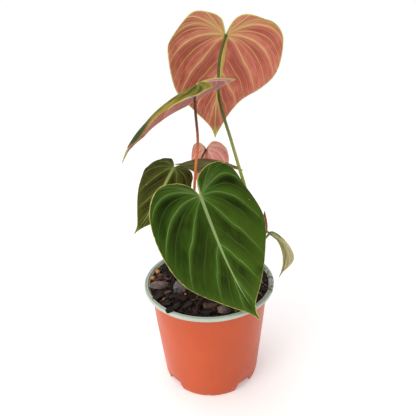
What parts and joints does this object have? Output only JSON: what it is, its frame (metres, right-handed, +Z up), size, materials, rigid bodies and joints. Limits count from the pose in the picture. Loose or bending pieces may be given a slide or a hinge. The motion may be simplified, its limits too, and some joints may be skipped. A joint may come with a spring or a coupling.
{
  "type": "potted el choco red philodendron",
  "caption": "Young climbing aroid with heart-shaped, red-backed leaves on slim petioles, growing in a filled round nursery pot with a rolled rim.",
  "frame": {"origin": "under the middle of the pot, on the surface that its feet stand on", "axes": "+Z up along the pot's axis, +X to the right and -Y towards the viewer of the plant's front"},
  "size_m": [0.1436, 0.1205, 0.3274],
  "materials": {
    "pot_plastic": "satin terracotta outside, pale grey-green inside and on the rim",
    "potting_mix": "damp peat, bark fines and grit",
    "pebble": "matt, slightly damp",
    "bark": "rough dark bark",
    "stem": "green-brown, with nodes",
    "sheath": "crimson, satin",
    "petiole_green": "green with pale specks, satin",
    "petiole_red": "orange-red below to dark maroon above, satin",
    "petiole_brown": "brown, satin",
    "leaf_back_red": "brick-pink underside with yellow-green veins, velvet green upper side",
    "leaf_front_green": "velvety dark green with pale veins and cream margin",
    "leaf_folded": "olive-yellow to dark green above, mauve-pink below",
    "leaf_left_olive": "bronze-olive velvet with yellow-green veins",
    "leaf_middle_dark": "dark olive velvet with a yellow-green tip",
    "leaf_small_pink": "pink underside, satin",
    "leaf_hanging_pale": "pale grey-beige-green underside, satin"
  },
  "bodies": {
    "root": {"pot": "pot_plastic", "potting_mix": "potting_mix", "pebble_brown": "pebble", "pebble_angular": "pebble", "pebble_round": "pebble", "bark_stick": "bark", "stem_main": "stem", "stem_short": "stem", "sheath_red": "sheath", "petiole_back": "petiole_green", "petiole_front": "petiole_green", "petiole_folded": "petiole_red", "petiole_left": "petiole_green", "petiole_middle": "petiole_brown", "petiole_pink": "petiole_brown", "petiole_hanging": "petiole_green", "leaf_back_red": "leaf_back_red", "leaf_front_green": "leaf_front_green", "leaf_folded": "leaf_folded", "leaf_left_olive": "leaf_left_olive", "leaf_middle_dark": "leaf_middle_dark", "leaf_small_pink": "leaf_small_pink", "leaf_hanging_pale": "leaf_hanging_pale"}
  },
  "joints": []
}
